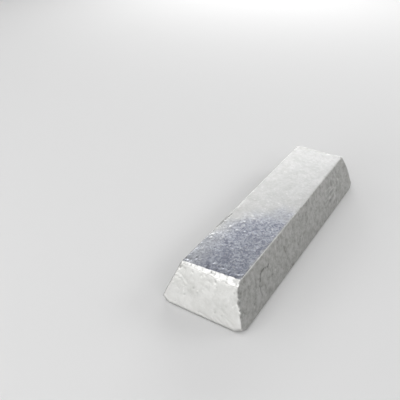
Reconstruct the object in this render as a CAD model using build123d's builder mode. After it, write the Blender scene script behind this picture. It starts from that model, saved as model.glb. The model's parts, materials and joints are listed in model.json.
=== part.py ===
from build123d import *
import math
import os

# A cast magnesium ingot of the 7.5 kg size, in millimetres. It was poured in an open mould and
# turned out upside down: the wide face that was open to the air lies on the floor at Z 0, and the
# narrow face that was the mould's bottom is up. The bar runs along X and its origin is the middle
# of the face it lies on. The near end, at -X, is the one with the knocked-down edge.

# The block with its edges still sharp: its wide lower face, and how far each wall leans in on the
# way up. Its rim is rounded afterwards, which takes about 2 mm off its length and its width.
foot_length = 506.5
foot_width = 152.8
height = 74.0
near_end_inset = 26.2
far_end_inset = 21.7
side_inset = 26.4

# Edges that the mould formed
upright_edge_radius = 2.8
crown_edge_radius = 2.5

# Edges that the open metal formed, where it drew back from the mould's walls and corners
rim_radius = 3.5
corner_roll_setback = 20.0
corner_roll_rise = 9.0

# The near end's top edge, knocked down as the bar was turned out, widest at its -Y corner
bevel_setback_wide = 10.0
bevel_setback_narrow = 2.5
bevel_drop = 6.0

# The sink that the metal left in its open face as it froze
sink_length = 420.0
sink_width = 96.0
sink_depth = 4.0
sink_lip_radius = 30.0

magnesium_density = 1.738e-6  # kilograms in a cubic millimetre

crown_width = foot_width - 2 * side_inset
sink_straight = sink_length - sink_width
sink_radius = ((sink_width / 2) ** 2 + sink_depth**2) / (2 * sink_depth)


def cut_plane(first: Vector, second: Vector, third: Vector, outward: Vector) -> Plane:
    """The plane through three points, with its normal on the side that is cut away."""
    normal = (second - first).cross(third - first)
    if normal.dot(outward) < 0:
        normal = -normal
    return Plane(origin=first, x_dir=second - first, z_dir=normal)


def wall_corner(side_x: int, side_y: int, level: float) -> Vector:
    """Where an end wall meets a side wall at a height, before any edge is rounded."""
    climb = level / height
    end_inset = near_end_inset if side_x < 0 else far_end_inset
    return Vector(
        side_x * (foot_length / 2 - climb * end_inset),
        side_y * (foot_width / 2 - climb * side_inset),
        level,
    )


def end_wall_plane(side_x: int) -> Plane:
    """The leaning plane of one end wall."""
    return cut_plane(
        wall_corner(side_x, -1, 0),
        wall_corner(side_x, 1, 0),
        wall_corner(side_x, 1, height),
        outward=Vector(side_x, 0, 0),
    )


def corner_roll_plane(side_x: int, side_y: int) -> Plane:
    """The plane that takes off one lower corner, which the metal didn't fill."""
    foot = wall_corner(side_x, side_y, 0)
    return cut_plane(
        foot - Vector(side_x * corner_roll_setback, 0, 0),
        foot - Vector(0, side_y * corner_roll_setback, 0),
        wall_corner(side_x, side_y, corner_roll_rise),
        outward=Vector(side_x, side_y, -1),
    )


def bevel_plane() -> Plane:
    """The plane of the knocked-down edge: it runs wider from the +Y corner to the -Y one."""
    return cut_plane(
        wall_corner(-1, 1, height) + Vector(bevel_setback_narrow, 0, 0),
        wall_corner(-1, -1, height) + Vector(bevel_setback_wide, 0, 0),
        wall_corner(-1, -1, height - bevel_drop),
        outward=Vector(-1, 0, 1),
    )


with BuildPart() as ingot:
    # The bar's section, run along its whole length, with both ends then cut to their lean
    with BuildSketch(Plane.YZ) as section:
        with BuildLine():
            Polyline(
                (-foot_width / 2, 0),
                (foot_width / 2, 0),
                (crown_width / 2, height),
                (-crown_width / 2, height),
                close=True,
            )
        make_face()
    extrude(amount=foot_length / 2, both=True)
    for end in (-1, 1):
        split(bisect_by=end_wall_plane(end), keep=Keep.BOTTOM)

    # The open face's rim: its corners drawn back first, then the whole rim rolled round
    for end in (-1, 1):
        for side in (-1, 1):
            split(bisect_by=corner_roll_plane(end, side), keep=Keep.BOTTOM)
    rim_edges = ingot.edges().filter_by(
        lambda edge: edge.bounding_box().max.Z < (corner_roll_rise + height) / 2
    )
    fillet(rim_edges, rim_radius)

    # The four upright edges, and then the edges of the crown
    upright_edges = ingot.edges().filter_by(lambda edge: edge.bounding_box().size.Z > height / 2)
    fillet(upright_edges, upright_edge_radius)
    crown_face = ingot.faces().sort_by(Axis.Z)[-1]
    fillet(crown_face.outer_wire().edges(), crown_edge_radius)

    # The knocked-down edge, a flat facet across the finished edge and its two corners
    split(bisect_by=bevel_plane(), keep=Keep.BOTTOM)

    # The sink: a shallow trough of one radius, closed at each end by half a bowl
    with BuildSketch(Plane.YZ.offset(-sink_straight / 2)) as trough_section:
        with BuildLine():
            Line((-sink_width / 2, 0), (sink_width / 2, 0))
            ThreePointArc((-sink_width / 2, 0), (0, sink_depth), (sink_width / 2, 0))
        make_face()
    extrude(amount=sink_straight, mode=Mode.SUBTRACT)
    quarter_width = sink_width / 4
    quarter_depth = sink_depth - sink_radius + math.sqrt(sink_radius**2 - quarter_width**2)
    for end in (-1, 1):
        with BuildSketch(Plane.YZ.offset(end * sink_straight / 2)) as bowl_section:
            with BuildLine():
                Polyline((0, sink_depth), (0, 0), (-end * sink_width / 2, 0))
                ThreePointArc(
                    (-end * sink_width / 2, 0), (-end * quarter_width, quarter_depth), (0, sink_depth)
                )
            make_face()
        revolve(
            axis=Axis((end * sink_straight / 2, 0, 0), (0, 0, 1)),
            revolution_arc=180,
            mode=Mode.SUBTRACT,
        )
    base_face = ingot.faces().sort_by(Axis.Z)[0]
    fillet(base_face.inner_wires()[0].edges(), sink_lip_radius)

ingot.part.label = "ingot"

os.makedirs("parts", exist_ok=True)
export_step(ingot.part, "parts/ingot.step")

print(f"ingot: {ingot.part.volume * magnesium_density:.2f} kg of magnesium")
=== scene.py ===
"""Looks of one cast magnesium ingot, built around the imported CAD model.

The ingot is a single casting, so it is a single piece: a fine skin that is laid on the CAD solid,
with the relief of the casting worked into it. The classes think in millimetres, in the CAD frame,
and the skin is turned into metres when its mesh is made. The bar runs along X, the end with the
knocked-down edge is at -X, the long side that the camera sees faces -Y, and the crown, which was
the mould's bottom, is up.
"""

import json
import logging
import math
from dataclasses import dataclass, field
from enum import Enum, IntEnum

import bpy
import numpy as np
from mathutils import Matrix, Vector
from mathutils.bvhtree import BVHTree

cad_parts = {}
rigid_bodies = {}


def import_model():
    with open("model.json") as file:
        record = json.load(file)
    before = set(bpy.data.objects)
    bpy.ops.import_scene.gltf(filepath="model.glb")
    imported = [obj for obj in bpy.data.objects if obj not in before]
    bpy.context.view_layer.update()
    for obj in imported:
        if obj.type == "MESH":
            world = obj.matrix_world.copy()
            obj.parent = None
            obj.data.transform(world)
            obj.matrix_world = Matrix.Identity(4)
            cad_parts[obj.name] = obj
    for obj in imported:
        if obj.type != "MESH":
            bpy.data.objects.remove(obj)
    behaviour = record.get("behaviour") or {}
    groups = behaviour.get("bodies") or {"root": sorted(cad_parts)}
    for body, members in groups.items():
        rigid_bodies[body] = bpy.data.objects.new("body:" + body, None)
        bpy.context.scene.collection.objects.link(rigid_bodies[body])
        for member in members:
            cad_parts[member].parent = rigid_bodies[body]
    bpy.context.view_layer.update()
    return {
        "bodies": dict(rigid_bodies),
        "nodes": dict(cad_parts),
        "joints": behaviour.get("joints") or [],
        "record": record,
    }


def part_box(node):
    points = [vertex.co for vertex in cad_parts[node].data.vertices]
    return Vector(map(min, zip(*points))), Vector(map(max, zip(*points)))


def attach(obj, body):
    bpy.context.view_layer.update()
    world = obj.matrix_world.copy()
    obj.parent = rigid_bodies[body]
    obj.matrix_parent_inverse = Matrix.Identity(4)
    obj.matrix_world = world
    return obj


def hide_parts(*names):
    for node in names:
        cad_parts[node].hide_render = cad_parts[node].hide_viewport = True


MM = 0.001
RAISE, SINK = 1.0, -1.0
log = logging.getLogger("magnesium_ingot")

# How soft the border of a face is where the relief on it ends, and how sure a point that is picked
# at random has to be of its face
FACE_SPREAD = 0.12
CROWN_SPREAD = 0.05
WELL_INSIDE = 0.9

# The colour sockets of the Mix node share their names with its other sockets and go by number
MIX_COLOUR_UNDER, MIX_COLOUR_OVER, MIX_COLOUR_RESULT = 6, 7, 2

Range = tuple[float, float]
Place = tuple[float, float, float]
Path = tuple[Place, ...]
Spot = tuple[float, float, float, float, float]


def ease(low: float, high: float, values: np.ndarray) -> np.ndarray:
    """Rises smoothly from 0 at low to 1 at high, or falls where high is the lower of the two."""
    t = np.clip((values - low) / (high - low), 0.0, 1.0)
    return t * t * (3.0 - 2.0 * t)


def bell(gap: np.ndarray, reach: float) -> np.ndarray:
    """Falls softly from 1 where the gap is nothing to about a third where it is the reach."""
    return np.exp(-((gap / reach) ** 2))


def linear_colour(hex_code: str) -> tuple[float, float, float, float]:
    """Turns an sRGB hex colour into the linear values that a shader takes, by the sRGB standard.

    Args:
        hex_code: six hex digits, such as "B4B5B2".

    Returns:
        Linear red, green and blue, and an alpha of 1.
    """
    parts = [int(hex_code[i : i + 2], 16) / 255.0 for i in (0, 2, 4)]
    red, green, blue = (c / 12.92 if c <= 0.04045 else ((c + 0.055) / 1.055) ** 2.4 for c in parts)
    return red, green, blue, 1.0


class Wall(Enum):
    """The faces of the bar, each with the direction that it looks in."""

    CROWN = (0.0, 0.0, 1.0)
    OPEN_FACE = (0.0, 0.0, -1.0)
    NEAR_END = (-0.943, 0.0, 0.334)
    FAR_END = (0.960, 0.0, 0.281)
    SEEN_SIDE = (0.0, -0.942, 0.336)
    REAR_SIDE = (0.0, 0.942, 0.336)


ALL_WALLS = (Wall.SEEN_SIDE, Wall.REAR_SIDE, Wall.FAR_END, Wall.NEAR_END)


class Seed(IntEnum):
    """Where each kind of mark starts its random numbers, so that every run gives the same ingot."""

    WAVES = 11
    CROWN_GRAIN = 23
    CROWN_PATCHES = 24
    WALL_RUNS = 31
    DRAG_LINES = 41
    CRACKS = 51
    LAPS = 61
    PUCKER = 71
    TEARS = 81
    FACETS = 82
    BRUISES = 91
    NODULES = 95
    PORES = 97
    RUBBING = 101
    SCUFFS = 103
    SCUFF_BREAKS = 104


class GradientNoise:
    """Smooth seeded noise in space, about -1 to 1, that is read at arrays of points."""

    lattice: int = 256
    strength: float = 1.5
    layer_shift: float = 37.0

    def __init__(self, seed: Seed) -> None:
        """Draws the lattice.

        Args:
            seed: which lattice; the same seed always gives the same noise.
        """
        source = np.random.default_rng(seed)
        self.order = source.permutation(self.lattice)
        slopes = source.normal(size=(self.lattice, 3))
        self.slopes = slopes / np.linalg.norm(slopes, axis=1)[:, None]

    def at(self, points: np.ndarray, size: float | Place) -> np.ndarray:
        """Reads the noise.

        Args:
            points: places in millimetres, one row each.
            size: the width of a bump in millimetres, or one width for each axis.

        Returns:
            One number for each place.
        """
        cells = points / np.asarray(size)
        corner = np.floor(cells).astype(np.int64)
        inside = cells - corner
        # The usual curve of gradient noise, which has no kink where two cells meet
        fade = inside**3 * (inside * (inside * 6.0 - 15.0) + 10.0)
        total = np.zeros(len(points))
        for step in np.ndindex(2, 2, 2):
            key = corner + step
            pick = self.order[key[:, 0] % self.lattice]
            pick = self.order[(pick + key[:, 1]) % self.lattice]
            pick = self.order[(pick + key[:, 2]) % self.lattice]
            reach = np.einsum("ij,ij->i", self.slopes[pick], inside - step)
            total += np.where(step, fade, 1.0 - fade).prod(axis=1) * reach
        return total * self.strength

    def layers(self, points: np.ndarray, size: float, count: int = 3) -> np.ndarray:
        """Adds finer layers to coarse noise, each half as wide and half as strong as the last."""
        return sum(self.at(points + self.layer_shift * i, size / 2**i) / 2**i for i in range(count))


@dataclass(frozen=True)
class Bumps:
    """Bumps of one width and depth in millimetres; the shift picks another part of the noise."""

    width: float | Place
    depth: float
    shift: float = 0.0
    layered: bool = False

    def over(self, noise: GradientNoise, places: np.ndarray) -> np.ndarray:
        """Reads from the noise how far the bumps stand out at each place, in millimetres."""
        read = noise.layers if self.layered else noise.at
        return self.depth * read(places + self.shift, self.width)


@dataclass(frozen=True)
class Swirl:
    """Sideways eddies: their width, how far they push, and how far apart x, y and z are read."""

    width: float
    push: float
    apart: float

    def over(self, noise: GradientNoise, places: np.ndarray) -> np.ndarray:
        """Reads from the noise how far each place is pushed in x, y and z, in millimetres."""
        return np.column_stack([noise.at(places + self.apart * i, self.width) for i in range(3)]) * self.push


@dataclass(frozen=True)
class Rise:
    """A soft step from its foot, at low, by its gain, at high."""

    low: float
    high: float
    foot: float = 0.0
    gain: float = 1.0

    def of(self, values: np.ndarray) -> np.ndarray:
        """Reads the step at each value."""
        return self.foot + self.gain * ease(self.low, self.high, values)


@dataclass
class Skin:
    """The points, outward directions and quads of the ingot's surface, in millimetres."""

    points: np.ndarray
    quads: np.ndarray
    edges: np.ndarray = field(init=False)
    links: np.ndarray = field(init=False)

    def __post_init__(self) -> None:
        """Finds each edge once, and how many edges meet at each point."""
        sides = np.concatenate([self.quads[:, [i, (i + 1) % 4]] for i in range(4)])
        self.edges = np.unique(np.sort(sides, axis=1), axis=0)
        self.links = np.bincount(self.edges.ravel(), minlength=len(self.points))

    def normals(self) -> np.ndarray:
        """The outward direction at each point, as unit rows."""
        a, b, c, d = (self.points[self.quads[:, i]] for i in range(4))
        across = np.cross(c - a, d - b)
        found = np.zeros_like(self.points)
        for i in range(4):
            for axis in range(3):
                found[:, axis] += np.bincount(
                    self.quads[:, i], weights=across[:, axis], minlength=len(self.points)
                )
        return found / np.linalg.norm(found, axis=1)[:, None]

    def neighbour_mean(self, values: np.ndarray) -> np.ndarray:
        """The mean of what a point's neighbours hold.

        Args:
            values: one row or one number for each point.

        Returns:
            The means, in the same shape.
        """
        columns = values.reshape(len(values), -1)
        first, second = self.edges[:, 0], self.edges[:, 1]
        means = np.empty_like(columns)
        for i in range(columns.shape[1]):
            total = np.bincount(first, weights=columns[second, i], minlength=len(values))
            total += np.bincount(second, weights=columns[first, i], minlength=len(values))
            means[:, i] = total / self.links
        return means.reshape(values.shape)

    def relax(self, rounds: int, share: float) -> None:
        """Softens the skin: in each round every point goes a share of the way to its neighbours' mean."""
        for _ in range(rounds):
            self.points = self.points + share * (self.neighbour_mean(self.points) - self.points)


@dataclass
class SkinLayout:
    """A grid of quads over the drafted block, which is then settled on the CAD solid.

    The lengths and insets are the block's, as in the part's source, in millimetres.
    """

    foot_length: float = 506.5
    foot_width: float = 152.8
    height: float = 74.0
    near_end_inset: float = 26.2
    far_end_inset: float = 21.7
    side_inset: float = 26.4
    cells_long: int = 320
    cells_wide: int = 88
    cells_high: int = 48
    edge_reach: float = 9.0
    edge_crowding: float = 1.1
    reading_count: int = 4001
    settle_rounds: int = 2
    settle_share: float = 0.5

    def stations(self, count: int, span: float) -> np.ndarray:
        """Places along one direction of the block, closer together near both of its edges.

        Args:
            count: how many cells.
            span: the length of that direction in millimetres.

        Returns:
            count + 1 numbers from 0 to 1.
        """
        fine = np.linspace(0.0, 1.0, self.reading_count)
        to_edge = np.minimum(fine, 1.0 - fine) * span
        density = 1.0 + self.edge_crowding * bell(to_edge, self.edge_reach)
        grown = np.concatenate(([0.0], np.cumsum((density[1:] + density[:-1]) / 2.0)))
        return np.interp(np.linspace(0.0, grown[-1], count + 1), grown, fine)

    def lay(self) -> Skin:
        """Lays the grid over the block with its edges still sharp.

        Returns:
            The skin, closed, with every quad facing outwards.
        """
        counts = (self.cells_long, self.cells_wide, self.cells_high)
        spans = (self.foot_length, self.foot_width, self.height)
        along, across, up = (self.stations(n, s) for n, s in zip(counts, spans))
        shape = tuple(n + 1 for n in counts)
        i, j, k = np.indices(shape)
        outside = (i == 0) | (i == counts[0]) | (j == 0) | (j == counts[1]) | (k == 0) | (k == counts[2])
        number = np.full(shape, -1)
        number[outside] = np.arange(outside.sum())
        u, v, w = along[i[outside]], across[j[outside]], up[k[outside]]
        points = np.column_stack(
            (
                (2.0 * u - 1.0) * self.foot_length / 2.0
                + w * ((1.0 - u) * self.near_end_inset - u * self.far_end_inset),
                (2.0 * v - 1.0) * (self.foot_width / 2.0 - w * self.side_inset),
                w * self.height,
            )
        )
        sheets = [
            (number[:, :, -1], False),
            (number[:, :, 0], True),
            (number[-1, :, :], False),
            (number[0, :, :], True),
            (number[:, -1, :], True),
            (number[:, 0, :], False),
        ]
        quads = [self.sheet_quads(sheet, flipped) for sheet, flipped in sheets]
        return Skin(points, np.concatenate(quads))

    @staticmethod
    def sheet_quads(sheet: np.ndarray, flipped: bool) -> np.ndarray:
        """The quads of one face of the block.

        Args:
            sheet: the point numbers of the face, in rows and columns.
            flipped: whether the winding is turned round to face outwards.

        Returns:
            Four point numbers for each quad.
        """
        corners = (sheet[:-1, :-1], sheet[1:, :-1], sheet[1:, 1:], sheet[:-1, 1:])
        quads = np.stack([c.ravel() for c in corners], axis=1)
        return quads[:, ::-1] if flipped else quads

    def settle(self, skin: Skin, solid: bpy.types.Object) -> None:
        """Moves each point to the nearest place on the CAD solid and softens the solid's facets.

        Args:
            skin: the skin to settle.
            solid: the CAD node.
        """
        tree = BVHTree.FromPolygons(
            [v.co[:] for v in solid.data.vertices], [p.vertices[:] for p in solid.data.polygons]
        )
        nearest = [tree.find_nearest(Vector(p))[0] for p in skin.points * MM]
        skin.points = np.array(nearest, dtype=float) / MM
        skin.relax(self.settle_rounds, self.settle_share)


@dataclass
class CastRelief:
    """The relief of the casting: how far each point of the skin stands out of the smooth solid.

    The height is in millimetres. The other arrays are masks from 0 to 1 that the material reads: the bluish
    film (bloom), painted shade in the dark gaps of cracks, the scratch, nicks, pores and laps
    (painted_gap_shade), oxide stain, bright specks with painted light and painted highlights
    (flecks_and_painted_light) and the rubbed facet of the knocked-down edge (worn_bevel).
    """

    skin: Skin
    first_stain: float = 0.25
    places: np.ndarray = field(init=False)
    facing: np.ndarray = field(init=False)
    height: np.ndarray = field(init=False)
    bloom: np.ndarray = field(init=False)
    painted_gap_shade: np.ndarray = field(init=False)
    stain: np.ndarray = field(init=False)
    flecks_and_painted_light: np.ndarray = field(init=False)
    worn_bevel: np.ndarray = field(init=False)

    def __post_init__(self) -> None:
        """Reads the smooth skin before anything is moved."""
        self.places = self.skin.points.copy()
        self.facing = self.skin.normals()
        count = len(self.places)
        self.height, self.bloom, self.painted_gap_shade = np.zeros(count), np.zeros(count), np.zeros(count)
        self.flecks_and_painted_light, self.worn_bevel = np.zeros(count), np.zeros(count)
        self.stain = np.full(count, self.first_stain)

    def looking(self, wall: Wall | Place, spread: float = FACE_SPREAD) -> np.ndarray:
        """How far each point belongs to a face, or looks in a direction: 1 on it and 0 beyond the spread."""
        direction = np.asarray(wall.value if isinstance(wall, Wall) else wall)
        return ease(1.0 - spread, 1.0 - spread / 4.0, self.facing @ (direction / np.linalg.norm(direction)))

    def on_walls(self, walls: tuple[Wall, ...]) -> np.ndarray:
        """How far each point belongs to any of some faces."""
        return sum(self.looking(wall) for wall in walls)

    def on_skin(self, place: Place) -> np.ndarray:
        """The place of the skin's point that is nearest to a place in millimetres."""
        return self.places[np.argmin(((self.places - place) ** 2).sum(axis=1))]

    def near_line(self, path: Path) -> tuple[np.ndarray, np.ndarray]:
        """How far each point is from a line that is drawn on the skin.

        Args:
            path: the line's corners in millimetres.

        Returns:
            The distance, and how far along the line the nearest place is, from 0 to 1.
        """
        corners = np.array([self.on_skin(corner) for corner in path])
        lengths = np.linalg.norm(np.diff(corners, axis=0), axis=1)
        starts = np.concatenate(([0.0], np.cumsum(lengths)))
        distance = np.full(len(self.places), np.inf)
        along = np.zeros(len(self.places))
        for start, end, length, before in zip(corners[:-1], corners[1:], lengths, starts):
            t = np.clip((self.places - start) @ (end - start) / length**2, 0.0, 1.0)
            gap = np.linalg.norm(self.places - (start + t[:, None] * (end - start)), axis=1)
            closer = gap < distance
            distance = np.where(closer, gap, distance)
            along = np.where(closer, (before + t * length) / starts[-1], along)
        return distance, along

    def dab(self, spots: tuple[Spot, ...], sign: float) -> np.ndarray:
        """Raises or sinks small round spots.

        Args:
            spots: x, y, z, radius and depth of each spot.
            sign: RAISE or SINK.

        Returns:
            How strongly each point was touched, from 0 to 1.
        """
        touched = np.zeros(len(self.places))
        for x, y, z, radius, depth in spots:
            gap = np.linalg.norm(self.places - self.on_skin((x, y, z)), axis=1)
            shape = bell(gap, radius)
            self.height += sign * depth * shape
            touched = np.maximum(touched, shape)
        return touched

    def scatter(
        self, source: np.random.Generator, where: np.ndarray, count: int, radii: Range
    ) -> tuple[np.ndarray, np.ndarray]:
        """Picks points at random where that is true, and gives their places and a radius for each."""
        picks = source.choice(np.flatnonzero(where), size=count, replace=False)
        return self.places[picks], source.uniform(*radii, count)

    def darken(self, share: np.ndarray) -> None:
        """Paints shade into gaps: makes them at least as dark as a share from 0 to 1."""
        self.painted_gap_shade = np.maximum(self.painted_gap_shade, share)

    def brighten(self, share: np.ndarray) -> None:
        """Makes specks, painted light and painted highlights at least as bright as a share from 0 to 1."""
        self.flecks_and_painted_light = np.maximum(self.flecks_and_painted_light, share)

    def press(self) -> None:
        """Moves the skin out by the height that has been worked up."""
        self.skin.points = self.places + self.facing * self.height[:, None]


class CastForm:
    """One kind of mark that casting, stripping or handling leaves on the skin."""

    def work(self, relief: CastRelief) -> None:
        """Works the mark into the relief so far."""
        raise NotImplementedError


@dataclass(frozen=True)
class LongWaves(CastForm):
    """The long waves that faces of cast metal draw as they cool, and the far end's swollen edge."""

    waves: Bumps = Bumps(90.0, 0.26)
    ripples: Bumps = Bumps(31.0, 0.12)
    shrinkage: float = 0.30
    swollen_edge: Path = ((232, -52, 71), (249, -69, 19))
    swelling: float = 2.0
    swelling_reach: float = 15.0

    def work(self, relief: CastRelief) -> None:
        """Draws the waves over the whole bar and swells the edge, most at its middle.

        Args:
            relief: the relief so far.
        """
        wave, places = GradientNoise(Seed.WAVES), relief.places
        relief.height += self.waves.over(wave, places) + self.ripples.over(wave, places) - self.shrinkage
        gap, along = relief.near_line(self.swollen_edge)
        relief.height += self.swelling * bell(gap, self.swelling_reach) * np.sin(math.pi * along)


@dataclass(frozen=True)
class CrownGrain(CastForm):
    """The frosted grain of the face that chilled against the mould's bottom, with its bluish film."""

    swirl: Swirl = Swirl(13.0, 4.5, 50.0)
    fine_swirl_share: float = 0.5
    coarse_size: Place = (9.0, 6.0, 6.0)
    fine_size: Place = (4.6, 3.2, 3.2)
    finer_size: float = 2.3
    coarse_depth: float = 0.05
    fine_depth: float = 0.10
    finer_depth: float = 0.12
    # The film ends at a ragged border that slants across the crown and curls back at +Y. It is
    # rubbed thinner in a strip along -Y and lies thinner in one along +Y.
    film_slant: float = 0.75
    film_curl: float = 0.045
    film_curl_from: float = 15.0
    film_ragged: Bumps = Bumps(34.0, 24.0, layered=True)
    film: Rise = Rise(-10.0, -98.0, 0.12, 0.80)
    rubbed_ragged: Bumps = Bumps(11.0, 2.0)
    rubbed_strip: Rise = Rise(-44.0, -48.5, 1.0, -0.4)
    thin_ragged: Bumps = Bumps(22.0, 5.0, 110.0)
    thin_strip: Rise = Rise(6.0, 42.0, 1.0, -0.36)
    stain_ragged: Bumps = Bumps(26.0, 14.0, 70.0)
    stained_end: Rise = Rise(-160.0, -212.0)
    stained_side: Rise = Rise(46.0, 20.0)
    frost: float = 0.7
    film_frost: float = 0.5
    frost_patches: Bumps = Bumps(17.0, 0.7)
    fleck: float = 0.2
    film_fleck: float = 0.8
    fleck_border: Rise = Rise(0.45, 0.85)
    finer_fleck: float = 0.5
    coarse_fleck: float = 0.4
    scratch_path: Path = ((-118, 48, 74), (-95, 47, 74), (-72, 45, 74))
    scratch_width: float = 0.8
    scratch_depth: float = 0.5
    scratch_shade: float = 0.6

    def work(self, relief: CastRelief) -> None:
        """Lays the film and its stain, raises the grain and cuts the one scratch.

        Args:
            relief: the relief so far.
        """
        grain, patch = GradientNoise(Seed.CROWN_GRAIN), GradientNoise(Seed.CROWN_PATCHES)
        places, across = relief.places, relief.places[:, 1]
        crown = relief.looking(Wall.CROWN, CROWN_SPREAD)
        swirl = self.swirl.over(patch, places)
        coarse = grain.at(places + swirl, self.coarse_size)
        fine = grain.at(places + self.fine_swirl_share * swirl, self.fine_size)
        finer = grain.at(places - self.fine_swirl_share * swirl, self.finer_size)

        border = places[:, 0] + self.film_slant * across
        border += self.film_curl * np.maximum(across - self.film_curl_from, 0.0) ** 2
        border += self.film_ragged.over(patch, places)
        rubbed = self.rubbed_strip.of(across + self.rubbed_ragged.over(grain, places))
        thin = self.thin_strip.of(across + self.thin_ragged.over(patch, places))
        relief.bloom = crown * self.film.of(border)
        relief.bloom *= rubbed * thin
        near_end = self.stained_end.of(places[:, 0] + self.stain_ragged.over(patch, places))
        relief.stain = np.maximum(relief.stain, crown * near_end * self.stained_side.of(across))

        patches = 1.0 + self.frost_patches.over(patch, places)
        frost = crown * (self.frost + self.film_frost * relief.bloom) * patches
        relief.height += frost * (
            self.coarse_depth * coarse + self.fine_depth * fine + self.finer_depth * finer
        )
        peaks = self.fleck_border.of(fine + self.finer_fleck * finer + self.coarse_fleck * coarse)
        relief.flecks_and_painted_light = (self.fleck + self.film_fleck * relief.bloom) * crown * peaks
        gap, _ = relief.near_line(self.scratch_path)
        scratch = crown * bell(gap, self.scratch_width)
        relief.height -= self.scratch_depth * scratch
        relief.darken(self.scratch_shade * scratch)


@dataclass(frozen=True)
class WallRuns(CastForm):
    """The faint upright runs that metal leaves on the walls as the mould fills."""

    walls: tuple[Wall, ...] = (Wall.SEEN_SIDE, Wall.REAR_SIDE, Wall.FAR_END)
    stain: float = 0.62
    stain_clouds: Bumps = Bumps(24.0, 0.35, layered=True)
    runs: Bumps = Bumps((3.0, 3.0, 13.0), 0.14)
    grain: Bumps = Bumps(5.0, 0.15, layered=True)
    seen_side_extra: float = 0.5

    def work(self, relief: CastRelief) -> None:
        """Stains the walls and raises their runs.

        Args:
            relief: the relief so far.
        """
        run, places = GradientNoise(Seed.WALL_RUNS), relief.places
        walls = relief.on_walls(self.walls)
        stain = walls * (self.stain + self.stain_clouds.over(run, places))
        relief.stain = np.clip(relief.stain + stain, 0.0, 1.0)
        runs = self.runs.over(run, places) + self.grain.over(run, places)
        relief.height += (walls + self.seen_side_extra * relief.looking(Wall.SEEN_SIDE)) * runs


@dataclass(frozen=True)
class DragLines(CastForm):
    """Slanting drag lines on the near end and the lapped fold near its upper corner."""

    slant: Range = (-0.90, -0.44)
    across: Range = (0.44, -0.90)
    line_size: Place = (15.0, 1.9, 20.0)
    line_border: Rise = Rise(0.05, 0.75)
    line_depth: float = 0.17
    patch_width: float = 28.0
    patches: Rise = Rise(-0.3, 0.4, 0.5, 0.9)
    grain: Bumps = Bumps(5.0, 0.034, layered=True)
    # Painted light: the near end is painted paler towards its foot, against the shade that it reflects there
    painted_light_foot: Rise = Rise(38.0, 8.0)
    painted_light_share: float = 0.32
    fold_path: Path = ((-234, 57, 53), (-236, 45, 50), (-238, 34, 42))
    fold_wander: Bumps = Bumps(5.0, 0.5)
    fold_fade: float = 0.75
    lip_width: float = 1.0
    lip_height: float = 0.95
    furrow_width: float = 3.0
    furrow_depth: float = 0.3

    def work(self, relief: CastRelief) -> None:
        """Scores the lines, paints light on the foot and turns up the fold's lip with a painted highlight.

        Args:
            relief: the relief so far.
        """
        score, places = GradientNoise(Seed.DRAG_LINES), relief.places
        end = relief.looking(Wall.NEAR_END)
        upright = places[:, 1:]
        turned = np.column_stack(
            (upright @ np.array(self.slant), upright @ np.array(self.across), places[:, 0])
        )
        drag = self.line_border.of(score.at(turned, self.line_size))
        drag = drag * self.patches.of(score.at(places, self.patch_width))
        relief.height += end * (self.grain.over(score, places) - self.line_depth * drag)
        # Painted light, paler towards the foot of the end
        relief.brighten(self.painted_light_share * end * self.painted_light_foot.of(places[:, 2]))
        gap, along = relief.near_line(self.fold_path)
        wander = gap + self.fold_wander.over(score, places)
        held = end * (1.0 - self.fold_fade * along)
        lip = held * bell(wander, self.lip_width)
        furrow = self.furrow_depth * held * bell(wander, self.furrow_width)
        relief.height += self.lip_height * lip - furrow
        # Painted highlight along the fold's lip
        relief.brighten(lip)


@dataclass(frozen=True)
class OpenCracks(CastForm):
    """The fine crack and the closed seam of the seen long side."""

    crack_path: Path = (
        (-136, -59, 50), (-140, -59, 49), (-151, -58, 53), (-158, -58, 53), (-165, -58, 51),
        (-169, -60, 45), (-175, -63, 38),
    )
    seam_path: Path = ((-175, -63, 38), (-176, -67, 26), (-175, -69, 19))
    crack_depth: float = 1.3
    seam_depth: float = 0.8
    width: float = 0.95
    fade: float = 0.45
    shade_by_depth: float = 1.2
    wander: Bumps = Bumps(6.0, 0.7)
    face_spread: float = 0.3

    def work(self, relief: CastRelief) -> None:
        """Cuts both lines, each of them shallower towards its end.

        Args:
            relief: the relief so far.
        """
        wander = self.wander.over(GradientNoise(Seed.CRACKS), relief.places)
        side = relief.looking(Wall.SEEN_SIDE, self.face_spread)
        for path, depth in ((self.crack_path, self.crack_depth), (self.seam_path, self.seam_depth)):
            gap, along = relief.near_line(path)
            cut = bell(gap + wander, self.width) * (1.0 - self.fade * along) * side
            relief.height -= depth * cut
            # Painted shade in the cut, darker where it is deeper
            relief.darken(cut * min(1.0, depth * self.shade_by_depth))


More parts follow.
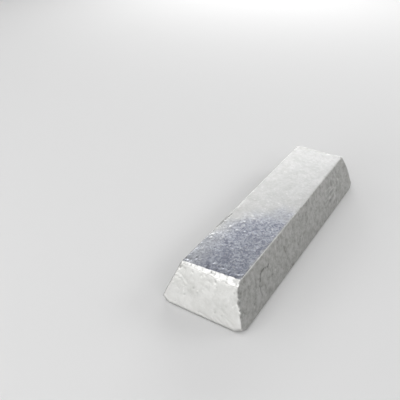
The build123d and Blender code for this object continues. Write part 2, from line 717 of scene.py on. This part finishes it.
@dataclass(frozen=True)
class FoldedLaps(CastForm):
    """Long level laps where the metal's skin folded: a patch on the seen side, stray ones elsewhere."""

    swirl: Swirl = Swirl(26.0, 3.5, 80.0)
    stretch: Place = (0.16, 0.16, 1.0)
    spacing: float = 9.0
    sharpness: float = 3.4
    patch_centre: Place = (140.0, -64.0, 36.0)
    patch_size: Place = (38.0, 30.0, 27.0)
    patch_falloff: float = 1.5
    stray_width: float = 60.0
    stray_shift: float = 300.0
    stray: Rise = Rise(0.28, 0.55)
    stray_on_seen_side: float = 0.15
    stray_walls: tuple[Wall, ...] = (Wall.REAR_SIDE, Wall.FAR_END)
    stray_on_walls: float = 0.3
    height: float = 0.95
    ridge_level: float = 0.35
    gap_border: Rise = Rise(0.25, 0.0)
    gap_shade: float = 0.25
    ridge_shine: float = 0.7

    def work(self, relief: CastRelief) -> None:
        """Raises the ridges of the laps and shades the gaps between them.

        Args:
            relief: the relief so far.
        """
        lap, places = GradientNoise(Seed.LAPS), relief.places
        level = (places + self.swirl.over(lap, places)) * self.stretch
        ridges = np.clip(1.0 - np.abs(lap.at(level, self.spacing)) * self.sharpness, 0.0, 1.0) ** 2
        outwards = (((places - np.array(self.patch_centre)) / self.patch_size) ** 2).sum(axis=1)
        patch = np.exp(-(outwards**self.patch_falloff))
        stray = self.stray.of(lap.at(places + self.stray_shift, self.stray_width))
        held = relief.looking(Wall.SEEN_SIDE) * (patch + self.stray_on_seen_side * stray)
        held = held + relief.on_walls(self.stray_walls) * stray * self.stray_on_walls
        relief.height += held * self.height * (ridges - self.ridge_level)
        # Painted shade in the gaps of the lapped patch, and painted highlights on its ridges
        relief.darken(held * patch * self.gap_shade * self.gap_border.of(ridges))
        relief.brighten(held * patch * self.ridge_shine * ridges)


@dataclass(frozen=True)
class PuckeredSkin(CastForm):
    """The puckered skin of the face that froze in the open, calmer on the rim that it lies on."""

    face_spread: float = 0.25
    inside_across: Rise = Rise(68.0, 55.0)
    inside_along: Rise = Rise(240.0, 215.0)
    swirl: Swirl = Swirl(30.0, 14.0, 90.0)
    fold_width: float = 17.0
    fold_border: Rise = Rise(0.42, 0.0)
    fold_depth: float = 1.5
    rim_depth: float = 0.12
    grain_width: float = 4.0
    grain_depth: float = 0.25

    def work(self, relief: CastRelief) -> None:
        """Sinks the folds and their grain into the open face.

        Args:
            relief: the relief so far.
        """
        pucker, places = GradientNoise(Seed.PUCKER), relief.places
        low = relief.looking(Wall.OPEN_FACE, self.face_spread)
        inner = self.inside_across.of(np.abs(places[:, 1])) * self.inside_along.of(np.abs(places[:, 0]))
        folds = np.abs(pucker.layers(places + self.swirl.over(pucker, places), self.fold_width))
        relief.height -= low * (self.rim_depth + inner * self.fold_depth * self.fold_border.of(folds))
        relief.height -= low * inner * self.grain_depth * (1.0 + pucker.at(places, self.grain_width))


@dataclass(frozen=True)
class KnockedEdge(CastForm):
    """The flat, torn facets of the knocked-down edge, its ragged border and the torn upright edge."""

    bevel_facing: Place = (-0.45, -0.08, 0.89)
    bevel_spread: float = 0.10
    bevel_along: Rise = Rise(-195.0, -212.0)
    bevel_up: Rise = Rise(58.0, 64.0)
    facet_width: float = 4.3
    facet_wander: Bumps = Bumps(7.0, 0.9)
    facet_count: int = 64
    facet_depth: float = 0.55
    facet_grain: Bumps = Bumps(2.6, 0.30)
    border: Rise = Rise(0.60, 0.80)
    notch_size: Place = (9.0, 3.4, 9.0)
    notch_shift: float = 40.0
    notches: Rise = Rise(0.20, 0.70)
    notch_depth: float = 1.1
    notch_loss: float = 0.35
    notch_places: tuple[Spot, ...] = (
        (-223, -4, 74, 2.2, 1.1), (-221, -11, 74, 1.4, 0.6), (-218, -28, 74, 1.6, 0.7),
        (-229, -33, 68, 1.4, 0.6), (-216, -42, 74, 1.4, 0.6),
    )
    dull_width: float = 8.0
    dull_shift: float = 90.0
    dull: Rise = Rise(0.05, 0.60, 1.0, -0.55)
    torn_edge: Path = ((-232, -54, 62), (-245, -68, 22))
    torn_reach: float = 2.6
    torn_grain: Bumps = Bumps(6.0, 0.60, layered=True)
    torn_loss: float = 0.15

    def work(self, relief: CastRelief) -> None:
        """Breaks the bevel into facets, bites its border and tears the upright edge.

        Args:
            relief: the relief so far.
        """
        tear, places = GradientNoise(Seed.TEARS), relief.places
        facing = relief.looking(self.bevel_facing, self.bevel_spread)
        near = self.bevel_along.of(places[:, 0]) * self.bevel_up.of(places[:, 2])
        facet = np.floor(places[:, 1] / self.facet_width + self.facet_wander.over(tear, places))
        levels = np.random.default_rng(Seed.FACETS).uniform(0.0, 1.0, self.facet_count)
        steps = levels[np.mod(facet, self.facet_count).astype(int)]
        bite = self.facet_depth * steps + self.facet_grain.over(tear, places)
        relief.height -= near * facing * np.clip(bite, 0.0, 1.0)

        border = near * self.border.of(relief.facing @ np.asarray(self.bevel_facing))
        ragged = self.notches.of(tear.at(places + self.notch_shift, self.notch_size))
        notch = border * (1.0 - facing) * ragged
        relief.height -= self.notch_depth * notch
        notch = np.maximum(notch, relief.dab(self.notch_places, SINK))
        shine = self.dull.of(tear.layers(places + self.dull_shift, self.dull_width))
        relief.worn_bevel = near * facing * (1.0 - self.notch_loss * notch) * shine
        gap, _ = relief.near_line(self.torn_edge)
        torn = bell(gap, self.torn_reach)
        relief.height += torn * (self.torn_grain.over(tear, places) - self.torn_loss)


@dataclass(frozen=True)
class CrownNodules(CastForm):
    """Small bright nodules that stand on the crown where bubbles broke at the mould's bottom."""

    count: int = 34
    far_limit: float = 60.0
    radii: Range = (0.9, 1.7)
    height_by_radius: float = 0.30

    def work(self, relief: CastRelief) -> None:
        """Scatters the nodules over the part of the crown that has the film.

        Args:
            relief: the relief so far.
        """
        source = np.random.default_rng(Seed.NODULES)
        crown = relief.looking(Wall.CROWN, CROWN_SPREAD) > WELL_INSIDE
        where = crown & (relief.places[:, 0] < self.far_limit)
        middles, radii = relief.scatter(source, where, self.count, self.radii)
        spots = tuple(zip(*middles.T, radii, radii * self.height_by_radius))
        relief.brighten(relief.dab(spots, RAISE))


@dataclass(frozen=True)
class WallPores(CastForm):
    """Fine gas pores that open in the walls as dark specks, and a few bright specks between them."""

    count: int = 110
    open_count: int = 75
    radii: Range = (0.9, 1.7)
    depth_by_radius: float = 0.25
    pore_shade: float = 0.32
    speck_shine: float = 0.8

    def work(self, relief: CastRelief) -> None:
        """Sinks the pores and raises the bright specks.

        Args:
            relief: the relief so far.
        """
        source = np.random.default_rng(Seed.PORES)
        where = relief.on_walls(ALL_WALLS) > WELL_INSIDE
        middles, radii = relief.scatter(source, where, self.count, self.radii)
        spots = tuple(zip(*middles.T, radii, radii * self.depth_by_radius))
        relief.darken(self.pore_shade * relief.dab(spots[: self.open_count], SINK))
        relief.brighten(self.speck_shine * relief.dab(spots[self.open_count :], RAISE))


@dataclass(frozen=True)
class WallScuffs(CastForm):
    """Thin bright scuffs that run up and down the walls, from the mould and from other metal."""

    count: int = 34
    lean: Range = (-9.0, 9.0)
    rise: Range = (12.0, 30.0)
    middle_height: float = 37.0
    breaks_width: float = 6.0
    breaks: Rise = Rise(-0.2, 0.4, 0.25, 0.75)
    width: float = 0.9
    depth: float = 0.10
    shine: float = 0.55

    def work(self, relief: CastRelief) -> None:
        """Draws the scuffs, each from a random point towards the middle of the wall's height.

        Args:
            relief: the relief so far.
        """
        source, broken = np.random.default_rng(Seed.SCUFFS), GradientNoise(Seed.SCUFF_BREAKS)
        walls = relief.on_walls(ALL_WALLS)
        starts = source.choice(np.flatnonzero(walls > WELL_INSIDE), size=self.count, replace=False)
        bright = walls * self.breaks.of(broken.at(relief.places, self.breaks_width))
        for start in relief.places[starts]:
            lean, rise = source.uniform(*self.lean), source.uniform(*self.rise)
            top = start + (lean, lean, rise if start[2] < self.middle_height else -rise)
            gap, _ = relief.near_line((start, top))
            scuff = bell(gap, self.width) * bright
            relief.height -= self.depth * scuff
            relief.brighten(self.shine * scuff)


@dataclass(frozen=True)
class EdgeBruises(CastForm):
    """Small bruises along the mould's edges and the rim, from handling and stacking."""

    count: int = 70
    sharp_lift: float = 0.03
    radii: Range = (1.2, 3.4)
    depth_by_radius: Range = (0.08, 0.20)

    def work(self, relief: CastRelief) -> None:
        """Sinks the bruises at random points of the bar's convex edges.

        Args:
            relief: the relief so far.
        """
        source = np.random.default_rng(Seed.BRUISES)
        convex = -(relief.skin.neighbour_mean(relief.places) - relief.places)
        sharp = np.einsum("ij,ij->i", convex, relief.facing) > self.sharp_lift
        middles, radii = relief.scatter(source, sharp, self.count, self.radii)
        depths = radii * source.uniform(*self.depth_by_radius, self.count)
        relief.dab(tuple(zip(*middles.T, radii, depths)), SINK)


@dataclass(frozen=True)
class SingleMarks(CastForm):
    """The dents, nicks, burrs, nodules and blisters that can be told apart one by one."""

    dents: tuple[Spot, ...] = (
        (-182, 52, 74, 6.0, 0.35), (-166, 53, 74, 5.0, 0.3), (-109, 51, 74, 6.0, 0.4),
        (-18, 51, 74, 9.0, 0.4), (98, 50, 74, 11.0, 0.4), (172, -50, 74, 8.0, 0.4),
    )
    nicks: tuple[Spot, ...] = (
        (-232, -55, 61, 2.2, 0.8), (-234, -57, 54, 2.2, 0.9), (-237, -60, 47, 2.8, 1.7),
        (-238, -61, 42, 2.3, 1.6), (-240, -63, 37, 1.8, 0.6), (-243, -66, 28, 1.6, 0.5),
    )
    burrs: tuple[Spot, ...] = (
        (-236, -59, 50, 1.3, 0.8), (-239, -62, 39, 1.5, 0.9), (-241, -64, 34, 1.8, 0.8),
    )
    nodules: tuple[Spot, ...] = (
        (-142, 44, 74, 1.9, 0.5), (-149, 41, 74, 1.5, 0.4), (-60, 11, 74, 2.2, 0.5),
        (-104, -22, 74, 1.5, 0.4), (-210, -40, 74, 1.7, 0.5), (-144, -19, 74, 1.1, 0.3),
        (-139, -33, 74, 1.1, 0.3), (-196, -26, 74, 1.1, 0.3),
    )
    blisters: tuple[Spot, ...] = (
        (-122, -66, 31, 1.3, 0.3), (-166, -71, 15, 1.3, 0.3), (-204, -70, 18, 1.6, 0.4),
        (185, -60, 47, 2.2, 1.0),
    )
    nick_shade: float = 0.55
    other_flecks: float = 0.75

    def work(self, relief: CastRelief) -> None:
        """Sinks and raises the marks, and calms the other flecks beside them.

        Args:
            relief: the relief so far.
        """
        relief.dab(self.dents, SINK)
        relief.darken(self.nick_shade * relief.dab(self.nicks, SINK))
        raised = relief.dab(self.burrs, RAISE) + relief.dab(self.nodules, RAISE)
        raised = raised + relief.dab(self.blisters, RAISE)
        relief.flecks_and_painted_light = np.clip(np.maximum(relief.flecks_and_painted_light * self.other_flecks, raised), 0.0, 1.0)


@dataclass(frozen=True)
class RubbedEdges:
    """Where handling has rubbed the oxide off: convex edges of the finished skin."""

    full_lift: float = 0.09
    edge_facing: Rise = Rise(0.98, 0.90)
    breaks_width: float = 16.0
    breaks: Rise = Rise(-0.15, 0.45, 0.25, 0.75)
    strength: float = 0.8

    def mask(self, relief: CastRelief) -> np.ndarray:
        """Finds the rubbed places, once the relief has been pressed into the skin.

        Args:
            relief: the finished relief.

        Returns:
            A number from 0 to 1 for each point.
        """
        skin = relief.skin
        lift = np.einsum("ij,ij->i", skin.points - skin.neighbour_mean(skin.points), skin.normals())
        rubbed = skin.neighbour_mean(np.clip(lift / self.full_lift, 0.0, 1.0))
        flat = np.max([relief.facing @ np.asarray(wall.value) for wall in Wall], axis=0)
        noise = GradientNoise(Seed.RUBBING).layers(relief.places, self.breaks_width)
        worn = self.strength * rubbed * self.edge_facing.of(flat) * self.breaks.of(noise)
        return np.clip(np.maximum(worn, relief.worn_bevel), 0.0, 1.0)


def add_node(
    tree: bpy.types.NodeTree,
    kind: str,
    settings: dict | None = None,
    links: dict | None = None,
) -> bpy.types.Node:
    """Adds one shader node.

    Args:
        tree: where it goes.
        kind: the node's type name.
        settings: values of its inputs or of its own properties, by name or input number.
        links: the sockets that feed its inputs, by name or input number.

    Returns:
        The new node.
    """
    node = tree.nodes.new(kind)
    for name, value in (settings or {}).items():
        if isinstance(name, str) and hasattr(node, name):
            setattr(node, name, value)
        else:
            node.inputs[name].default_value = value
    for name, socket in (links or {}).items():
        tree.links.new(socket, node.inputs[name])
    return node


def blank_tree(holder: bpy.types.Material | bpy.types.World) -> bpy.types.NodeTree:
    """Turns on the nodes of a material or a world and takes out those that it comes with.

    Args:
        holder: the material or the world.

    Returns:
        Its empty node tree.
    """
    holder.use_nodes = True
    holder.node_tree.nodes.clear()
    return holder.node_tree


def add_object(name: str, data: bpy.types.ID) -> bpy.types.Object:
    """Makes an object and puts it in the scene.

    Args:
        name: what it is called.
        data: its mesh, lamp or camera.

    Returns:
        The new object.
    """
    made = bpy.data.objects.new(name, data)
    bpy.context.scene.collection.objects.link(made)
    return made


@dataclass(frozen=True)
class Pattern:
    """A soft random pattern whose marks have a size in millimetres."""

    name: str
    size_mm: float
    detail: float
    harshness: float = 0.5
    swirl: float = 0.0


@dataclass(frozen=True)
class Reading:
    """How strong something is where a pattern or a mask goes from low to high."""

    name: str
    source: str
    low: float
    high: float
    least: float = 0.0
    most: float = 1.0


@dataclass(frozen=True)
class Coat:
    """One colour over another: each is a hex code or the name of an earlier coat."""

    name: str
    share: str
    under: str
    over: str


@dataclass(frozen=True)
class CastMagnesium:
    """Magnesium as cast in an open mould and then aired: a dull, pale grey metal.

    The grey skin of oxide spreads the light softly and is blotched with darker stain. The film on the crown
    is bluish and a little glossier. Rubbed edges and fresh tears show the brighter metal underneath. The same
    bright colour is painted light on the foot of the near end and painted highlight along the fold's lip and
    the ridges of the laps, and cracks, the scratch, nicks, pores and the gaps between laps are darkened with
    painted shade.
    """

    skin_pale: str = "BFBFBD"
    skin_shade: str = "AFAFAC"
    skin_stain: str = "8C8C87"
    film: str = "C0C4CE"
    film_shade: str = "7B7F8E"
    film_dark: str = "717584"
    # Bare metal of rubbed edges and bright specks, also used as painted light and painted highlights
    bare_metal_and_painted_light: str = "ECECEA"
    # Painted shade: the colour of cracks, the scratch, nicks, pores and the gaps between laps
    seam: str = "5D5F5C"
    film_roughness: float = 0.28
    bare_roughness: float = 0.30
    # Real blotches of oxide are 2 to 5 mm across and real grit is about 0.2 mm. A pixel of the
    # render covers 1.5 to 2.2 mm of the bar, so the blotches are drawn at 9 mm, the film's speckle
    # at 5.5 mm and the grit at 1.4 mm, which is as coarse as each of them needs to show.
    patterns: tuple[Pattern, ...] = (
        Pattern("mottle", 9.0, 6.0, 0.74, 0.3),
        Pattern("cloud", 26.0, 3.0),
        Pattern("speckle", 5.5, 5.0, 0.66, 1.0),
        Pattern("grit", 1.4, 3.0),
    )
    grit_depth_mm: float = 0.055
    grit_strength: float = 0.8
    # What the relief left on the skin, by the names that Ingot gives them
    masks: tuple[str, ...] = ("bloom", "flecks_and_painted_light", "painted_gap_shade", "stain", "worn")
    readings: tuple[Reading, ...] = (
        Reading("shading", "cloud", 0.35, 0.65, 0.0, 0.45),
        Reading("blotches", "mottle", 0.43, 0.72),
        Reading("film_speckle", "speckle", 0.38, 0.60),
        Reading("film_cloud", "cloud", 0.40, 0.62, 0.0, 0.25),
        Reading("film_stain", "stain", 0.25, 1.0, 0.0, 0.30),
        Reading("fleck_and_highlight_share", "flecks_and_painted_light", 0.0, 1.0, 0.0, 0.65),
        Reading("rubbing", "worn", 0.15, 0.85),
        Reading("skin_roughness", "mottle", 0.3, 0.7, 0.41, 0.52),
    )

    def coats(self) -> tuple[Coat, ...]:
        """The colours in the order that they lie on each other, the last one on top."""
        return (
            Coat("oxide", "shading", self.skin_pale, self.skin_shade),
            Coat("stained_oxide", "blotched_stain", "oxide", self.skin_stain),
            Coat("speckled_film", "film_speckle", self.film, self.film_shade),
            Coat("clouded_film", "film_cloud", "speckled_film", self.film_shade),
            Coat("darkened_film", "film_stain", "clouded_film", self.film_dark),
            Coat("filmed_oxide", "bloom", "stained_oxide", "darkened_film"),
            Coat("flecked_and_highlighted_oxide", "fleck_and_highlight_share", "filmed_oxide", self.bare_metal_and_painted_light),
            Coat("rubbed_oxide", "rubbing", "flecked_and_highlighted_oxide", self.bare_metal_and_painted_light),
            Coat("surface", "painted_gap_shade", "rubbed_oxide", self.seam),
        )

    def material(self) -> bpy.types.Material:
        """Makes the material with its nodes.

        Returns:
            The finished material.
        """
        made = bpy.data.materials.new("cast_magnesium_aired")
        tree = blank_tree(made)
        place = add_node(tree, "ShaderNodeTexCoord").outputs["Object"]
        sockets: dict[str, bpy.types.NodeSocket] = {}
        for pattern in self.patterns:
            settings = {
                "Scale": 1.0 / (pattern.size_mm * MM),
                "Detail": pattern.detail,
                "Roughness": pattern.harshness,
                "Distortion": pattern.swirl,
            }
            node = add_node(tree, "ShaderNodeTexNoise", settings, {"Vector": place})
            sockets[pattern.name] = node.outputs["Fac"]
        for name in self.masks:
            node = add_node(tree, "ShaderNodeAttribute", {"attribute_name": name})
            sockets[name] = node.outputs["Fac"]
        for reading in self.readings:
            settings = {
                "From Min": reading.low,
                "From Max": reading.high,
                "To Min": reading.least,
                "To Max": reading.most,
            }
            node = add_node(tree, "ShaderNodeMapRange", settings, {"Value": sockets[reading.source]})
            sockets[reading.name] = node.outputs["Result"]
        node = add_node(
            tree,
            "ShaderNodeMath",
            {"operation": "MULTIPLY"},
            {0: sockets["blotches"], 1: sockets["stain"]},
        )
        sockets["blotched_stain"] = node.outputs["Value"]
        for coat in self.coats():
            settings, links = {"data_type": "RGBA"}, {"Factor": sockets[coat.share]}
            for number, colour in ((MIX_COLOUR_UNDER, coat.under), (MIX_COLOUR_OVER, coat.over)):
                if colour in sockets:
                    links[number] = sockets[colour]
                else:
                    settings[number] = linear_colour(colour)
            node = add_node(tree, "ShaderNodeMix", settings, links)
            sockets[coat.name] = node.outputs[MIX_COLOUR_RESULT]
        rough = sockets["skin_roughness"]
        for mask, value in (("bloom", self.film_roughness), ("worn", self.bare_roughness)):
            node = add_node(tree, "ShaderNodeMix", {"B": value}, {"Factor": sockets[mask], "A": rough})
            rough = node.outputs["Result"]
        bump = add_node(
            tree,
            "ShaderNodeBump",
            {"Strength": self.grit_strength, "Distance": self.grit_depth_mm * MM},
            {"Height": sockets["grit"]},
        )
        metal = add_node(
            tree,
            "ShaderNodeBsdfPrincipled",
            {"Metallic": 1.0},
            {"Base Color": sockets["surface"], "Roughness": rough, "Normal": bump.outputs["Normal"]},
        )
        add_node(tree, "ShaderNodeOutputMaterial", links={"Surface": metal.outputs["BSDF"]})
        return made


@dataclass
class Ingot:
    """The ingot itself: one casting in one piece."""

    layout: SkinLayout = field(default_factory=SkinLayout)
    finish: CastMagnesium = field(default_factory=CastMagnesium)
    rubbing: RubbedEdges = field(default_factory=RubbedEdges)
    # In the order that the metal got them
    forms: tuple[CastForm, ...] = (
        LongWaves(),
        CrownGrain(),
        WallRuns(),
        DragLines(),
        OpenCracks(),
        FoldedLaps(),
        PuckeredSkin(),
        KnockedEdge(),
        CrownNodules(),
        WallPores(),
        WallScuffs(),
        EdgeBruises(),
        SingleMarks(),
    )
    name: str = "ingot_casting"
    node: str = "ingot"
    slot: str = "magnesium"

    def build(self, frame: dict) -> bpy.types.Object:
        """Makes the casting over its CAD node.


        Returns:
            The finished object.
        """
        skin = self.layout.lay()
        self.layout.settle(skin, frame["nodes"][self.node])
        relief = CastRelief(skin)
        for form in self.forms:
            form.work(relief)
        relief.press()
        low, high = (np.array(corner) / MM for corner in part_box(self.node))
        skin.points = np.clip(skin.points, low, high)

        mesh = bpy.data.meshes.new(self.name)
        mesh.from_pydata((skin.points * MM).tolist(), [], skin.quads.tolist())
        mesh.polygons.foreach_set("use_smooth", np.ones(len(skin.quads), dtype=bool))
        masks = {
            "bloom": relief.bloom,
            "flecks_and_painted_light": relief.flecks_and_painted_light,
            "painted_gap_shade": relief.painted_gap_shade,
            "stain": relief.stain,
            "worn": self.rubbing.mask(relief),
        }
        for title, values in masks.items():
            layer = mesh.attributes.new(title, "FLOAT", "POINT")
            layer.data.foreach_set("value", values.astype(np.float32))
        mesh.materials.append(self.finish.material())
        mesh.update()
        casting = add_object(self.name, mesh)
        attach(casting, "root")
        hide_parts(self.node)
        log.info("%s: %d points, %d quads", self.name, len(skin.points), len(skin.quads))
        return casting


@dataclass(frozen=True)
class StudioPaper:
    """Seamless photographic paper: matt, uncoated and pale grey.

    It gives the eye an even floor that takes a soft shadow and has no gloss.
    """

    colour: str = "E6E6E6"
    roughness: float = 0.95
    specular_level: float = 0.1

    def material(self) -> bpy.types.Material:
        """Makes the paper's material.

        Returns:
            The finished material.
        """
        made = bpy.data.materials.new("matt_studio_paper")
        tree = blank_tree(made)
        settings = {
            "Base Color": linear_colour(self.colour),
            "Roughness": self.roughness,
            "Specular IOR Level": self.specular_level,
        }
        paper = add_node(tree, "ShaderNodeBsdfPrincipled", settings)
        add_node(tree, "ShaderNodeOutputMaterial", links={"Surface": paper.outputs["BSDF"]})
        return made


@dataclass(frozen=True)
class Softbox:
    """One large soft white lamp that looks at the ingot.

    Its bearing and elevation are in degrees, its distance and size in metres, its power in watts.
    """

    name: str
    bearing: float
    elevation: float
    distance: float
    width: float
    height: float
    power: float

    def place(self) -> bpy.types.Object:
        """Hangs the lamp.

        Returns:
            The lamp's object.
        """
        lamp = bpy.data.lights.new(self.name, "AREA")
        lamp.shape = "RECTANGLE"
        lamp.size, lamp.size_y = self.width, self.height
        lamp.energy = self.power
        hung = add_object(self.name, lamp)
        turn, rise = math.radians(self.bearing), math.radians(self.elevation)
        direction = Vector((math.cos(turn) * math.cos(rise), math.sin(turn) * math.cos(rise), math.sin(rise)))
        hung.location = direction * self.distance
        hung.rotation_euler = direction.to_track_quat("Z", "Y").to_euler()
        hung.visible_camera = False
        return hung


@dataclass
class Studio:
    """The pale floor, the soft lamps and the light of the room."""

    paper: StudioPaper = field(default_factory=StudioPaper)
    floor_reach: float = 7.0
    lamps: tuple[Softbox, ...] = (
        Softbox("key_low", 160.0, 10.0, 2.4, 2.2, 0.7, 21.2),
        Softbox("key_middle", 153.0, 25.0, 2.4, 2.0, 0.9, 5.1),
        Softbox("key_high", 158.0, 50.0, 2.4, 2.0, 1.2, 7.7),
        Softbox("overhead", 98.0, 72.0, 2.4, 1.6, 1.2, 8.4),
        Softbox("back_strip", 24.0, 21.0, 2.6, 1.8, 0.55, 17.8),
        Softbox("back_glint", 40.0, 27.0, 2.6, 0.9, 0.5, 2.9),
        Softbox("back_high", 24.0, 46.0, 2.6, 1.6, 0.6, 1.6),
        Softbox("right_low", -44.0, 12.0, 2.6, 1.6, 0.8, 3.3),
        Softbox("right_fill", -44.0, 35.0, 2.6, 1.6, 0.8, 15.6),
        Softbox("front_fill", -122.0, 35.0, 2.6, 1.8, 1.0, 12.0),
        Softbox("left_fill", 100.0, 30.0, 2.6, 1.8, 1.0, 6.3),
    )
    room: str = "7C7C7C"

    def build(self) -> None:
        """Lays the floor, hangs the lamps and lights the room."""
        reach = self.floor_reach
        corners = [(-reach, -reach, 0), (reach, -reach, 0), (reach, reach, 0), (-reach, reach, 0)]
        mesh = bpy.data.meshes.new("studio_floor")
        mesh.from_pydata(corners, [], [(0, 1, 2, 3)])
        mesh.materials.append(self.paper.material())
        floor = add_object("studio_floor", mesh)
        for lamp in self.lamps:
            lamp.place()

        room = bpy.data.worlds.new("studio_room")
        tree = blank_tree(room)
        light = add_node(tree, "ShaderNodeBackground", {"Color": linear_colour(self.room)})
        add_node(tree, "ShaderNodeOutputWorld", links={"Surface": light.outputs["Background"]})
        bpy.context.scene.world = room
        bpy.context.scene.view_settings.view_transform = "Standard"
        log.info("studio: floor and %d lamps", len(self.lamps))


@dataclass(frozen=True)
class PhotoCamera:
    """The camera, where the photograph was taken from, in metres."""

    position: Place = (-0.75825, -0.3134, 0.6059)
    forward: Place = (0.7124, 0.4409, -0.5460)
    lens_mm: float = 48.06

    def place(self) -> bpy.types.Object:
        """Sets the camera up and makes it the scene's own.

        Returns:
            The camera's object.
        """
        optics = bpy.data.cameras.new("photo_camera")
        optics.lens = self.lens_mm
        camera = add_object("photo_camera", optics)
        camera.location = self.position
        camera.rotation_euler = Vector(self.forward).to_track_quat("-Z", "Y").to_euler()
        bpy.context.scene.camera = camera
        log.info("camera: %.0f mm lens", self.lens_mm)
        return camera


def main() -> None:
    """Loads the frame, then builds the camera, the ingot and the studio in that order."""
    logging.basicConfig(level=logging.INFO, format="%(name)s %(message)s")
    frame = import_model()
    PhotoCamera().place()
    Ingot().build(frame)
    Studio().build()


if __name__ == "__main__":
    main()
